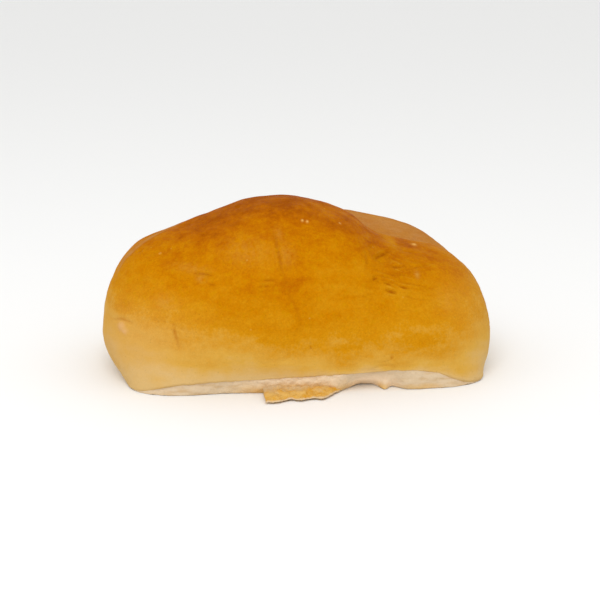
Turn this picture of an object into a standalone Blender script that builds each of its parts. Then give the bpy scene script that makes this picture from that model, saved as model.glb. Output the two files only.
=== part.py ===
"""A bread roll, 120 mm long, resting on its torn base: one closed solid.

A ball is moved point by point onto the roll's surface. From the top down, that surface is the
crust's dome under two long lobes, the lower side down to the crust's lip, the crumb below the
lip, and the flat base. A thin ragged tab of base crust, which lies on the floor in front, is
then joined on. X runs along the roll, -Y is its front and Z is up.
"""

import bmesh
import bpy
import numpy as np

# Plan outlines in metres: half sizes each way, and how square each end is (2 is an ellipse).
WIDEST = {"left": 0.0598, "right": 0.0581, "front": 0.0360, "back": 0.0380, "square": (2.8, 3.5)}
FOOT = {"left": 0.0520, "right": 0.0540, "front": 0.0335, "back": 0.0340, "square": (9.0, 13.0)}
WIDEST_HEIGHT_LEFT = 0.0132
WIDEST_HEIGHT_RIGHT = 0.0102
# The dome gets rounder than its widest ring by up to this much towards the top. The foot's corners
# reach no further than this share of the widest ring, and CORNER_BLEND sets how sharply they stop.
ROUNDER_ABOVE = 1.9
FOOT_CORNER_SHARE = 1.03
CORNER_BLEND = 36.0
ROUNDEST = 2.0

# The dome's cross section: how flat its top is, and how upright its sides are.
DOME_TOP = 3.4
DOME_SIDE = 2.2

# Ridge lines of the two lobes: (x, height).
FRONT_RIDGE = [(-0.060, 0.0512), (-0.050, 0.0486), (-0.038, 0.0467), (-0.028, 0.0480),
               (-0.014, 0.0515), (-0.003, 0.0520), (0.008, 0.0497), (0.015, 0.0468),
               (0.022, 0.0421), (0.030, 0.0399), (0.038, 0.0401), (0.046, 0.0415),
               (0.060, 0.0415)]
BACK_RIDGE = [(-0.060, 0.0430), (-0.025, 0.0450), (0.000, 0.0463), (0.022, 0.0449),
              (0.034, 0.0442), (0.044, 0.0434), (0.060, 0.0398)]
FRONT_RIDGE_Y = -0.0020
BACK_RIDGE_Y = 0.0200
# A lobe has fallen by LOBE_FALL at these distances in front of its ridge and behind it.
LOBE_FALL = 0.0030
FRONT_LOBE_REACH = (0.0300, 0.0080)
BACK_LOBE_REACH = (0.0090, 0.0250)
GROOVE_SOFTNESS = 0.0014

# Height of the crust's lip above the floor in front: (x, height). It overhangs the crumb, and
# the back's lip rises by only this share of it.
LIP = [(-0.060, 0.0009), (-0.048, 0.0010), (-0.042, 0.0025), (-0.031, 0.0038), (-0.020, 0.0044),
       (-0.009, 0.0053), (0.012, 0.0062), (0.024, 0.0067), (0.038, 0.0049), (0.048, 0.0010),
       (0.060, 0.0009)]
LIP_BACK_SHARE = 0.7
LIP_OVERHANG = 0.0010
LIP_UNDERSIDE = 0.0004
LIP_FULL_HEIGHT = 0.0022
UNDER_CURVE = (1.8, 1.6)
# The crumb's unevenness: its size, and waves as (count round the roll, phase, twist to the floor).
CRUMB_ROUGHNESS = 0.00022
CRUMB_WAVES = ((17, 1.0, 0.0), (29, 0.0, 4.0), (43, 0.0, -3.0))

# Where more crumb is torn away in front, this deep at the floor, with one tooth of crumb left
# standing in it: the notch deepens between the first two x and runs out between the next two.
NOTCH_LEFT = (0.0075, 0.0165)
NOTCH_RIGHT = (0.0205, 0.0300)
NOTCH_DEPTH = 0.0066
TOOTH_X = 0.0223
TOOTH_WIDTH = 0.0019
TOOTH_SHARE = 0.9
# The notch fades in between these two values of how far a point faces the front (1 is dead ahead).
FRONT_SECTOR = (0.2, 0.5)

# Hollows pressed into the crust: centre, radius and push.
HOLLOWS = [((-0.0600, 0.0080, 0.0290), 0.0130, (0.0022, 0.0, 0.0)),
           ((-0.0220, -0.0335, 0.0000), 0.0130, (0.0, 0.0018, 0.0))]

# The tab of base crust: its ragged front edge as (x, y), its root, and its thickness.
TAB_EDGE = [(-0.0134, -0.0423), (-0.0095, -0.0420), (-0.0062, -0.0402), (-0.0034, -0.0412),
            (0.0005, -0.0399), (0.0030, -0.0406), (0.0073, -0.0357), (0.0100, -0.0327),
            (0.0134, -0.0290)]
TAB_ROOT_Y = -0.0265
TAB_ROOT_TOP = 0.0042
TAB_EDGE_TOP = 0.0010
TAB_UNDERSIDE = 0.0003
# Its unevenness: size, and waves as (turn across its width, turn from root to edge).
TAB_WAVE = 0.00015
TAB_WAVES = ((9.0, 5.0), (17.0, 0.0))
TAB_COLUMNS = 26
TAB_ROWS = 5

# Facets: points round the roll, and rings on the dome, the lower side and the base.
POINTS_ROUND = 132
DOME_RINGS = 22
SIDE_RINGS = 11
BASE_RINGS = 3
# Share of the lower side's rings above the lip, and share down to the end of its underside.
ABOVE_LIP = 0.55
TO_UNDERSIDE = 0.73

CRUST_COLOUR = (0.64, 0.24, 0.02, 1.0)
CRUST_ROUGHNESS = 0.45


def clear_scene():
    """Removes every object that the file starts with."""
    for obj in list(bpy.data.objects):
        bpy.data.objects.remove(obj, do_unlink=True)


def smooth_curve(points, x):
    """Cubic curve through (x, value) points, with a level-headed slope at each of them."""
    knots, values = np.array(points).T
    spans = np.diff(knots)
    slopes = np.diff(values) / spans
    inner = (slopes[:-1] * spans[1:] + slopes[1:] * spans[:-1]) / (spans[1:] + spans[:-1])
    tangents = np.concatenate([slopes[:1], inner, slopes[-1:]])
    x = np.clip(x, knots[0], knots[-1])
    i = np.clip(np.searchsorted(knots, x) - 1, 0, len(spans) - 1)
    t = (x - knots[i]) / spans[i]
    start = (2 * t**3 - 3 * t**2 + 1) * values[i] + (t**3 - 2 * t**2 + t) * spans[i] * tangents[i]
    end = (3 * t**2 - 2 * t**3) * values[i + 1] + (t**3 - t**2) * spans[i] * tangents[i + 1]
    return start + end


def ramp(low, high, value):
    """0 below low, 1 above high, and a smooth step between them."""
    t = np.clip((value - low) / (high - low), 0.0, 1.0)
    return t * t * (3.0 - 2.0 * t)


def plan_radius(angle, plan, rounder=0.0):
    """Distance from the middle to a superellipse with its own half size each way."""
    along, across = np.cos(angle), np.sin(angle)
    half_length = np.where(along < 0, plan["left"], plan["right"])
    half_width = np.where(across < 0, plan["front"], plan["back"])
    left_square, right_square = plan["square"]
    power = left_square + (right_square - left_square) * (1.0 + along) / 2.0
    power = np.maximum(power - rounder, ROUNDEST)
    total = np.abs(along / half_length) ** power + np.abs(across / half_width) ** power
    return total ** (-1.0 / power)


def foot_radius(angle):
    """Distance from the middle to the foot, with its corners held in by the widest ring."""
    outline, limit = plan_radius(angle, FOOT), FOOT_CORNER_SHARE * plan_radius(angle, WIDEST)
    return (outline**-CORNER_BLEND + limit**-CORNER_BLEND) ** (-1.0 / CORNER_BLEND)


def lobe(x, y, ridge, ridge_y, reach):
    """Height of one lobe: its ridge line, less a parabola in front of it and one behind it."""
    reach_front, reach_back = reach
    offset = y - ridge_y
    share = np.where(offset < 0, offset / reach_front, offset / reach_back)
    return smooth_curve(ridge, x) - LOBE_FALL * share**2


def lobes_height(x, y):
    """The higher of the two lobes, with the groove between them softened."""
    front = lobe(x, y, FRONT_RIDGE, FRONT_RIDGE_Y, FRONT_LOBE_REACH)
    back = lobe(x, y, BACK_RIDGE, BACK_RIDGE_Y, BACK_LOBE_REACH)
    gap = np.abs(front - back) / GROOVE_SOFTNESS
    return np.maximum(front, back) + GROOVE_SOFTNESS * np.log1p(np.exp(-gap))


def widest_height(angle):
    """Height of the roll's widest ring, which falls from the left end to the right one."""
    fall = WIDEST_HEIGHT_LEFT - WIDEST_HEIGHT_RIGHT
    return WIDEST_HEIGHT_RIGHT + fall * (1.0 - np.cos(angle)) / 2.0


def dome(angle, share):
    """Crust from the top (share 0) to the widest ring (share 1)."""
    rho = np.sin(share * np.pi / 2.0)
    radius = rho * plan_radius(angle, WIDEST, ROUNDER_ABOVE * (1.0 - rho))
    x, y = radius * np.cos(angle), radius * np.sin(angle)
    low = widest_height(angle)
    rise = (1.0 - rho**DOME_TOP) ** (1.0 / DOME_SIDE)
    return x, y, low + (lobes_height(x, y) - low) * rise


def lip_height(angle, foot):
    """Height of the crust's lip, which is lower along the back."""
    lip = smooth_curve(LIP, foot * np.cos(angle))
    lowest = LIP[0][1]
    return lip - (lip - lowest) * (1.0 - LIP_BACK_SHARE) * ramp(-0.3, 0.3, np.sin(angle))


def torn_depth(x, down):
    """How far back the crumb is torn at each x, by the share of the way down to the floor."""
    inside = ramp(*NOTCH_LEFT, x) * (1.0 - ramp(*NOTCH_RIGHT, x))
    tooth = TOOTH_SHARE * np.exp(-(((x - TOOTH_X) / TOOTH_WIDTH) ** 2)) * down**2
    return NOTCH_DEPTH * inside * down * (1.0 - tooth)


def lower_side(angle, share):
    """From the widest ring (share 0) by the crust's lip down to the floor (share 1)."""
    wide, foot = plan_radius(angle, WIDEST), foot_radius(angle)
    top = widest_height(angle)
    lip = lip_height(angle, foot)
    crust = np.clip(share / ABOVE_LIP, 0.0, 1.0)
    underside = np.clip((share - ABOVE_LIP) / (TO_UNDERSIDE - ABOVE_LIP), 0.0, 1.0)
    crumb = np.clip((share - TO_UNDERSIDE) / (1.0 - TO_UNDERSIDE), 0.0, 1.0)
    z = top + (lip - top) * crust - LIP_UNDERSIDE * underside
    z = z * (1.0 - crumb)
    bulge, turn = UNDER_CURVE
    radius = foot + (wide - foot) * (1.0 - np.clip(1.0 - z / top, 0.0, 1.0) ** bulge) ** (1.0 / turn)
    radius = radius - LIP_OVERHANG * underside * ramp(LIP_UNDERSIDE, LIP_FULL_HEIGHT, lip)
    waves = sum(np.sin(count * angle + phase + twist * crumb) for count, phase, twist in CRUMB_WAVES)
    radius = radius + CRUMB_ROUGHNESS * waves * underside
    x, y = radius * np.cos(angle), radius * np.sin(angle)
    return x, y + torn_depth(x, crumb) * ramp(*FRONT_SECTOR, -np.sin(angle)), z


def base(angle, share):
    """The flat base, from the foot (share 0) to its middle (share 1)."""
    x, y, z = lower_side(angle, 1.0)
    return x * (1.0 - share), y * (1.0 - share), z


def pressed(points):
    """Points moved by the hollows, each a bell curve of distance from its centre."""
    for centre, radius, push in HOLLOWS:
        distance = np.linalg.norm(points - np.array(centre), axis=1)
        points = points + np.exp(-((distance / radius) ** 2))[:, None] * np.array(push)
    return points


def roll_points(angle, ring):
    """Place of each point by its angle round the roll and its ring, counted from the top."""
    side_end = DOME_RINGS + SIDE_RINGS
    parts = [
        (ring < DOME_RINGS, dome(angle, np.clip(ring / DOME_RINGS, 0, 1))),
        (ring < side_end, lower_side(angle, np.clip((ring - DOME_RINGS) / SIDE_RINGS, 0, 1))),
        (ring >= side_end, base(angle, np.clip((ring - side_end) / BASE_RINGS, 0, 1))),
    ]
    tests = [test for test, place in parts]
    return np.stack([np.select(tests, [place[i] for test, place in parts]) for i in range(3)], axis=1)


def moved_points(mesh, rule):
    """Moves every point of a mesh by a rule from its places to new ones."""
    points = np.empty(len(mesh.vertices) * 3)
    mesh.vertices.foreach_get("co", points)
    mesh.vertices.foreach_set("co", rule(points.reshape(-1, 3)).ravel())
    mesh.update()


def new_object(name, bm):
    """A linked object with a bmesh's shape."""
    mesh = bpy.data.meshes.new(name)
    bm.to_mesh(mesh)
    bm.free()
    obj = bpy.data.objects.new(name, mesh)
    bpy.context.scene.collection.objects.link(obj)
    return obj


def roll_body():
    """A ball with one ring of points for each ring of the roll, moved onto the roll."""
    rings = DOME_RINGS + SIDE_RINGS + BASE_RINGS

    def rule(points):
        angle = np.arctan2(points[:, 1], points[:, 0])
        ring = np.rint(np.arccos(np.clip(points[:, 2], -1.0, 1.0)) / np.pi * rings)
        return pressed(roll_points(angle, ring))

    bm = bmesh.new()
    bmesh.ops.create_uvsphere(bm, u_segments=POINTS_ROUND, v_segments=rings, radius=1.0)
    body = new_object("bread_roll", bm)
    moved_points(body.data, rule)
    return body


def tab_piece():
    """A thin sheet with a ragged front edge, whose root reaches into the crumb."""
    left, right = TAB_EDGE[0][0], TAB_EDGE[-1][0]

    def rule(points):
        x = left + (right - left) * (points[:, 0] + 1.0) / 2.0
        forward = (1.0 - points[:, 1]) / 2.0
        y = TAB_ROOT_Y + (smooth_curve(TAB_EDGE, x) - TAB_ROOT_Y) * forward
        top = TAB_ROOT_TOP + (TAB_EDGE_TOP - TAB_ROOT_TOP) * forward
        waves = sum(np.sin(across * points[:, 0] + along * forward) for across, along in TAB_WAVES)
        top = top + TAB_WAVE * waves
        return np.stack([x, y, np.where(points[:, 2] > 0, top, TAB_UNDERSIDE)], axis=1)

    bm = bmesh.new()
    bmesh.ops.create_grid(bm, x_segments=TAB_COLUMNS, y_segments=TAB_ROWS, size=1.0)
    grown = bmesh.ops.extrude_face_region(bm, geom=bm.faces[:])["geom"]
    lifted = [item for item in grown if isinstance(item, bmesh.types.BMVert)]
    bmesh.ops.translate(bm, verts=lifted, vec=(0.0, 0.0, 1.0))
    bmesh.ops.recalc_face_normals(bm, faces=bm.faces[:])
    tab = new_object("tab", bm)
    moved_points(tab.data, rule)
    return tab


def join(body, pieces):
    """One Boolean union of the body with the pieces, applied; the pieces are then removed."""
    group = bpy.data.collections.new("joined pieces")
    bpy.context.scene.collection.children.link(group)
    for piece in pieces:
        group.objects.link(piece)
        bpy.context.scene.collection.objects.unlink(piece)
    union = body.modifiers.new("union", "BOOLEAN")
    union.operation = "UNION"
    union.operand_type = "COLLECTION"
    union.collection = group
    union.solver = "EXACT"
    bpy.context.view_layer.objects.active = body
    bpy.ops.object.modifier_apply(modifier=union.name)
    for piece in pieces:
        bpy.data.objects.remove(piece, do_unlink=True)
    bpy.data.collections.remove(group)


def centred(points):
    """Points shifted so that the middle of their box is over the origin, with z unchanged."""
    middle = (points.min(axis=0) + points.max(axis=0)) / 2.0
    return points - np.array([middle[0], middle[1], 0.0])


def crust_material():
    """Golden-brown baked crust with a soft sheen."""
    material = bpy.data.materials.new("golden_crust")
    material.use_nodes = True
    shader = material.node_tree.nodes["Principled BSDF"]
    shader.inputs["Base Color"].default_value = CRUST_COLOUR
    shader.inputs["Roughness"].default_value = CRUST_ROUGHNESS
    shader.inputs["Metallic"].default_value = 0.0
    return material


def make_bread_roll():
    """The whole roll: the body with its tab, centred, shaded smooth and in its crust colour."""
    roll = roll_body()
    join(roll, [tab_piece()])
    moved_points(roll.data, centred)
    roll.data.shade_smooth()
    roll.data.set_sharp_from_angle(angle=np.radians(50.0))
    roll.data.materials.clear()
    roll.data.materials.append(crust_material())


clear_scene()
make_bread_roll()
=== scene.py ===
"""A soft bread roll on its torn base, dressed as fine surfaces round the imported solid.

Three pieces stand for the solid: the browned crust, the torn crumb under it with the roll's base,
and the ragged tab of base crust in front. Each is a closed surface worked out on a grid from the
same named sizes as the solid. X runs along the roll and -Y is its front. Lengths are in metres,
apart from the tables of points and marks, which are in millimetres.
"""

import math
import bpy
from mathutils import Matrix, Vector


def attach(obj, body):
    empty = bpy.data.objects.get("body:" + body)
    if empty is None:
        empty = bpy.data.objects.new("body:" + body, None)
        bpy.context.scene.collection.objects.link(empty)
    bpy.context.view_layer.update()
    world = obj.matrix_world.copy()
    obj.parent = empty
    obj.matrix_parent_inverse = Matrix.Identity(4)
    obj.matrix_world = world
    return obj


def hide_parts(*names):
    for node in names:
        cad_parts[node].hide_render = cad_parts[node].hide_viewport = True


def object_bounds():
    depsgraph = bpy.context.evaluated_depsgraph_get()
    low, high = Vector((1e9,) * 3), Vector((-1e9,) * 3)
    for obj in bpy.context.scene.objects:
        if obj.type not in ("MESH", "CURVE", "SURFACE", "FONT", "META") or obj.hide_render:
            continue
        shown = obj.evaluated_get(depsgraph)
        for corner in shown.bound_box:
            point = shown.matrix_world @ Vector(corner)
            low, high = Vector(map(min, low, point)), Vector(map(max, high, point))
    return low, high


bl_info = {
    "name": "Bread Roll",
    "version": (1, 0, 0),
    "blender": (4, 5, 0),
    "location": "3D View > Sidebar > Bread Roll",
    "description": "Adds a soft bread roll with a browned crust, torn crumb and a ragged tab",
    "category": "Add Mesh",
}

import bpy
import numpy as np
from bpy.props import FloatProperty, FloatVectorProperty, IntProperty, PointerProperty
from mathutils import Vector

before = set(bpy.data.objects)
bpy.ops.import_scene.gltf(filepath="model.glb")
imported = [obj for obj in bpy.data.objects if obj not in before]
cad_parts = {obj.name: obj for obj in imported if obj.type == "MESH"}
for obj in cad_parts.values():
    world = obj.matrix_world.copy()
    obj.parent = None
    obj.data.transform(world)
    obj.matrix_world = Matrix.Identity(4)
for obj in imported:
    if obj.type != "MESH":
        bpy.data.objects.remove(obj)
packed_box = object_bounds()

NODE = "bread_roll"


def metres(lengths):
    """Lengths given in millimetres, in lists within lists, as metres."""
    if isinstance(lengths, (list, tuple)):
        return [metres(part) for part in lengths]
    return lengths / 1000.0


# Plan outlines: half sizes each way, and how square each end is (2 is an ellipse).
WIDEST = {"left": 0.0598, "right": 0.0581, "front": 0.0360, "back": 0.0380, "square": (2.8, 3.5)}
FOOT = {"left": 0.0520, "right": 0.0540, "front": 0.0335, "back": 0.0340, "square": (9.0, 13.0)}
WIDEST_HEIGHT_LEFT = 0.0132
WIDEST_HEIGHT_RIGHT = 0.0102
# The dome gets rounder than its widest ring by up to this much towards the top. The foot's corners
# reach no further than this share of the widest ring, and CORNER_BLEND sets how sharply they stop.
ROUNDER_ABOVE = 1.9
FOOT_CORNER_SHARE = 1.03
CORNER_BLEND = 36.0
ROUNDEST = 2.0

# The dome's cross section: how flat its top is, and how upright its sides are.
DOME_TOP = 3.4
DOME_SIDE = 2.2

# Ridge lines of the two lobes: (x, height).
FRONT_RIDGE = metres([
    (-60, 51.2), (-50, 48.6), (-38, 46.7), (-28, 48), (-14, 51.5), (-3, 52),
    (8, 49.7), (15, 46.8), (22, 42.1), (30, 39.9), (38, 40.1), (46, 41.5), (60, 41.5),
])
BACK_RIDGE = metres([
    (-60, 43), (-25, 45), (0, 46.3), (22, 44.9), (34, 44.2), (44, 43.4), (60, 39.8),
])
FRONT_RIDGE_Y = -0.0020
BACK_RIDGE_Y = 0.0200
# A lobe has fallen by LOBE_FALL at these distances in front of its ridge and behind it.
LOBE_FALL = 0.0030
FRONT_LOBE_REACH = (0.0300, 0.0080)
BACK_LOBE_REACH = (0.0090, 0.0250)
GROOVE_SOFTNESS = 0.0006

# Height of the crust's lip above the floor in front: (x, height). The back's lip rises by only
# LIP_BACK_SHARE of it, and the lip's overhang over the crumb is full from LIP_FULL_HEIGHT up.
LIP = metres([
    (-60, 0.9), (-48, 1), (-42, 2.5), (-31, 3.8), (-20, 4.4), (-9, 5.3), (12, 6.2),
    (24, 6.7), (38, 4.9), (48, 1), (60, 0.9),
])
LIP_BACK_SHARE = 0.7
LIP_OVERHANG = 0.0010
LIP_UNDERSIDE = 0.0004
LIP_FULL_HEIGHT = 0.0022
# The front's lip turns into the back's over this range of the sine of the angle round the roll.
LIP_BACK = (-0.3, 0.3)
# The lip gets ragged over this range of its height.
RAGGED_LIP = (0.001, 0.003)
# Share of the lip's overhang that the soft crumb leaves uncovered.
CRUMB_INSET = 0.30
LEAST_INSET = 0.0003
# Above the lip the crumb goes further in, over this range, and on up by COVERED_HEIGHT.
COVERED_INSET = 0.0008
COVERED_FROM = (-0.0002, 0.0004)
COVERED_HEIGHT = 0.0012
# Rows of points on the crust's lower side, its lip and its cover, and on the crumb and the base.
SIDE_ROWS, LIP_ROWS, COVER_ROWS = 16, 4, 3
CRUMB_ROWS, BASE_ROWS = 36, 90
# Heights of the covers that close the crust and the crumb, out of sight inside the roll.
CRUST_COVER_STEP = 0.0002
CRUST_COVER_HEIGHT = 0.008
CRUMB_COVER_HEIGHT = 0.010
# The crumb gets rough over this range of the lip's overhang, and is this rough elsewhere.
ROUGH_OVER = (0.0, 0.0010)
LEAST_ROUGH = 0.15
TEAR_SHARE = 0.35
# The two powers of the curve from the widest ring down to the foot.
UNDER_CURVE = (1.8, 1.6)

# Where more crumb is torn away in front, with one tooth of crumb left standing in it.
NOTCH_LEFT = (0.0075, 0.0165)
NOTCH_RIGHT = (0.0205, 0.0300)
NOTCH_DEPTH = 0.0066
TOOTH_X = 0.0223
TOOTH_WIDTH = 0.0019
TOOTH_SHARE = 0.9
# The front begins over this range of minus the sine of the angle round the roll.
FRONT_SECTOR = (0.2, 0.5)
# Painted light: above the tab, where its root shades the crumb, the crumb is brightened from the first
# range of x to the second, by this share.
LIT_LEFT = (-0.026, -0.010)
LIT_RIGHT = (0.006, 0.014)
LIT_SHARE = 0.42
# The painted light is full where the notch, which lies in shade, has this share of its depth, and on the
# base near its rim.
LIT_NOTCH = 0.7
LIT_RIM = (0.75, 1.0)

# Hollows pressed into the crust: centre, radius and push.
HOLLOWS = metres([
    ((-60, 8, 29), 13, (2.2, 0, 0)),
    ((-22, -33.5, 0), 13, (0, 1.8, 0)),
])

# The tab of base crust: its front edge as (x, y), its root, and its thickness.
TAB_EDGE = metres([
    (-13.4, -42.3), (-9.5, -42), (-6.2, -40.2), (-3.4, -41.2), (0.5, -39.9), (3, -40.6),
    (7.3, -35.7), (10, -32.7), (13.4, -29),
])
TAB_ROOT_Y = -0.0265
TAB_ROOT_TOP = 0.0042
TAB_EDGE_TOP = 0.0010
TAB_UNDERSIDE = 0.0003
TAB_COLUMNS, TAB_ROWS = 220, 70
# Its sides and its front round off over one part in so many of its width and length.
TAB_ROUNDING = (14.0, 10.0)
# The base crust is whole where the tab joins it: half its width, and how far in front.
TAB_HOLD_WIDTH = (0.0150, 0.0175)
TAB_HOLD_DEPTH = (-0.0190, -0.0225)
# The base is torn past this share of its half length and half width, from this middle line.
BASE_HALF = (0.054, 0.034)
BASE_MIDDLE_Y = 0.002
TORN_FROM = (0.72, 0.80)

# Kinds of noise: strength, width of the largest lumps, number of layers, and seed. A strength is
# a length where the noise moves points, and otherwise a share. The lip's nicks are on a circle
# of radius 1.
CRUST_LUMPS = (1.0, 0.0110, 3, 11)
LIP_NICKS = (0.0002, 0.05, 3, 5)
LINE_PATHS = (1.0, 0.0034, 1, 23)
LINE_PLACES = (1.0, 0.0090, 1, 25)
RIPPLE_SWAY = (0.0011, 0.0050, 1, 21)
RIPPLE_BREAKS = (1.0, 0.0040, 1, 22)
GROOVE_WAVER = (0.0003, 0.0040, 1, 27)
BLUSH_WANDER = (0.0040, 0.0120, 3, 37)
STRIP_FRAY = (0.0016, 0.0060, 3, 61)
BLISTER_FRAY = (0.0005, 0.0012, 2, 29)
DUST_AND_SHEEN_NOISE = (1.0, 0.0011, 3, 33)
BAKE_BROAD = (0.07, 0.0120, 3, 31)
BAKE_STREAKS = (0.06, 0.0050, 3, 35)
CRUMB_PITS = (0.6, 0.0024, 4, 41)
CRUMB_TEARS = (1.0, 0.0045, 1, 47)
TAN_FRAY = (0.0006, 0.0035, 3, 59)
BASE_GRAIN = (0.4, 0.0016, 3, 53)
BASE_TEARS = (0.22, 0.0140, 4, 67)
TAB_FRONT_NICKS = (0.00035, 0.0022, 3, 71)
TAB_SIDE_NICKS = (0.00030, 0.0030, 3, 73)
TAB_PITS = (0.00050, 0.0026, 4, 79)
NOISE_GAIN = 1.6
# Large odd numbers that mix a cell's place and a seed into a number that looks random.
MIXERS = np.array([374761393, 668265263, 2246822519, 3266489917], np.uint32)

# The line of sight onto the front, and how much a mark's depth along it counts.
SIGHT = (-0.1010, -0.9606, 0.2588)
DEPTH_SHARE = 0.2
GRAIN_DEPTH_SHARE = 0.45
# How much of a crease is left at its ends, and the swelling beside it.
CREASE_ENDS = 0.25
CREASE_SWELL = 0.3
# Creases in the crust: a path over the surface, half width and depth. The depth sets both the relief and
# the painted shade down the crease.
CREASES = metres([
    ([(-8.9, -19.4, 47.3), (-8.1, -23.6, 43.8), (-7.4, -26.8, 39.8), (-6.9, -28.6, 36.7),
      (-5.9, -30.4, 32.8)], 0.55, 0.36),
    ([(-5.9, -30.4, 32.8), (-4.4, -31.7, 28.7), (-3, -32.6, 24.8), (-2.1, -33, 22.5),
      (-1.5, -33.5, 18.2)], 0.8, 0.22),
    ([(-13.3, -29.8, 33.2), (-10.8, -29.9, 33.4), (-8.2, -30, 33.7)], 0.45, 0.42),
    ([(-14, -30.4, 31.8), (-11.7, -30.6, 32.1), (-9.7, -30.6, 32.2)], 0.45, 0.38),
    ([(-18.2, -5.5, 49.6), (-17.1, -4.7, 50.1)], 0.4, 0.45),
    ([(-47.5, -8.8, 37.5), (-46, -8.2, 38.5)], 0.4, 0.35),
    ([(0.6, -33.8, 15), (1.2, -33.8, 13.7)], 0.35, 0.3),
    ([(20.8, -21.8, 37.2), (22.7, -19.7, 37.6), (25, -16.8, 37.8), (27.1, -13.7, 37.7)], 0.45, 0.62),
    ([(25.7, -21.7, 34.6), (28, -20.5, 34.2), (30.6, -18.8, 34)], 0.35, 0.45),
    ([(19.2, -27.5, 32), (20.2, -26.8, 32.4), (21.2, -26, 32.9)], 0.4, 0.5),
    ([(22.9, -26.6, 31.3), (24.1, -26.5, 30.8), (25.3, -26.3, 30.4)], 0.4, 0.5),
    ([(23, -28, 29.3), (24.8, -27.8, 28.6), (26.6, -27.5, 28.1)], 0.45, 0.6),
    ([(27.7, -25.9, 29.5), (29.8, -25.7, 28.8)], 0.35, 0.32),
    ([(24.4, -24.3, 33.1), (26.9, -23.7, 32.3), (29.5, -22.3, 32.2)], 0.35, 0.4),
    ([(-32.2, -24.6, 34.9), (-29.1, -25.8, 34.9), (-25.8, -27, 34.4)], 0.42, 0.5),
    ([(-28.1, -27.6, 32.4), (-25.6, -28.4, 32.1)], 0.4, 0.36),
    ([(-38.1, -28.8, 21.8), (-37.6, -29.5, 19), (-37, -30, 16.2),
      (-36.2, -30.3, 13.3)], 0.65, 0.26),
    ([(-55.9, -15.6, 19.5), (-52.6, -20.1, 20.7), (-49.1, -23.5, 20)], 0.6, 0.28),
    ([(26.3, -25.4, 31.2), (30, -25.1, 30.3), (33.5, -24.9, 29.4), (38.9, -24.3, 28.2)], 0.35, 0.24),
    ([(27.7, -28, 27.7), (33, -27.7, 26.3), (38.2, -27, 25.3)], 0.35, 0.18),
    ([(29.9, -21.1, 33.4), (34.9, -18.2, 33.7), (39.7, -15.4, 33.9)], 0.35, 0.22),
    ([(18.3, -19.7, 40.2), (18.7, -23.2, 37.4), (17.9, -26.2, 34.9)], 0.45, 0.18),
    ([(38.9, -28.4, 19.4), (38.9, -28.9, 18)], 0.3, 0.25),
    ([(24.2, -32.9, 11.7), (24.7, -32.9, 9.4)], 0.45, 0.2),
    ([(50.9, -22.9, 16.5), (51.5, -22.7, 12), (52.2, -22.4, 8.6)], 0.6, 0.2),
])
# The depth of crease that counts as one whole fold, in relief and in painted shade.
DEEP_FOLD = 0.0006
# Faint lines along the roll: how they are drawn out, where their noise makes one, where there
#  are any, the height over which they end, and their share of a fold, which presses them in and paints
#  shade along them.
LINE_STRETCH = (0.35, 0.45, 1.3)
LINE_EDGE = (0.86, 1.0)
LINE_PLACES_EDGE = (0.0, 0.6)
LINES_TOP = (0.041, 0.046)
LINE_SHARE = 0.25
# The patch of ripples: its place and size, their spacing and slant, where they break off, and
#  their share of the fold shading, painted shade in their troughs and painted highlight on their crests.
RIPPLE_CENTRE = (0.0270, -0.0235, 0.0325)
RIPPLE_RADII = (0.0100, 0.0110, 0.0068)
RIPPLE_SPACING = 0.0013
RIPPLE_SLANT = 0.30
RIPPLE_BREAKS_EDGE = (-0.5, 0.4)
RIPPLE_SHARE = 0.55
# Raised spots of the blister at the left end: centre, radius and height. Their pale tops are
# this share as strong and as wide.
BLISTER_PALE = 0.8
BLISTER = metres([
    ((-52.7, -20.4, 18.6), 1.3, 0.5),
    ((-51.8, -21.2, 17.3), 0.9, 0.35),
])
# Raised folds beside the creases: centre, radius and height.
FOLDS = metres([
    ((-7.6, -21.9, 45.5), 2.2, 0.3),
    ((-5.3, -26.7, 40), 2.4, 0.25),
    ((26.6, -10.5, 38.9), 2, 0.3),
    ((33.4, -21.9, 32.1), 0.5, 0.18),
])
# Pale grains on the crust: centre, radius and height.
GRAINS = metres([
    ((0.1, -18, 48.1), 0.34, 0.2),
    ((1.5, -18.2, 47.8), 0.34, 0.2),
    ((11.6, -14.5, 46.5), 0.26, 0.15),
    ((35.6, -4.4, 37.1), 0.62, 0.28),
    ((-41.1, -13.8, 38.5), 0.22, 0.1),
])

# The back lobe's pinker skin: its strength, and the ranges over which it comes in by how much
# higher that lobe is, by height and by x, and fades out by y.
BLUSH_SHARE = 0.9
BLUSH_GAP = (0.0002, 0.0013)
BLUSH_HEIGHT = (0.024, 0.038)
BLUSH_RIGHT = (-0.012, 0.012)
BLUSH_END = (0.0110, 0.0280)
# The groove between the lobes, by how much higher the back one is and by height. It gets a painted
#  highlight on its edge from the first x on, painted shade past the second, and these shares of the fold
#  shading.
GROOVE_MIDDLE, GROOVE_WIDTH = 0.0003, 0.0006
GROOVE_HEIGHT = (0.020, 0.030)
GROOVE_HIGHLIGHT_FROM = (0.010, 0.014)
GROOVE_SHADE_FROM = (0.028, 0.034)
EDGE_HIGHLIGHT_SHARE = 0.5
GROOVE_SHADE_SHARE = 0.55

# The line at the left shoulder, painted as a dark furrow of shade, behind which the back lobe's paler skin
# shows: (x, y).
SHOULDER = metres([
    (-56, -13.4), (-52.3, -8.2), (-48, -6.6), (-43.4, -4), (-36.3, -0.1), (-31, 2.4),
])
# The ranges over which that skin comes in by x and height, and begins and ends behind that line.
SHOULDER_LEFT = (-0.028, -0.036)
SHOULDER_HEIGHT = (0.028, 0.036)
STRIP_START = (0.0, 0.0012)
STRIP_END = (0.0004, 0.0062)
STRIP_SHARE = 0.85
# The half width of that painted shade line, and its share of the fold shading.
SHADE_LINE_WIDTH = 0.0007
SHADE_LINE_SHARE = 0.5
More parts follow.
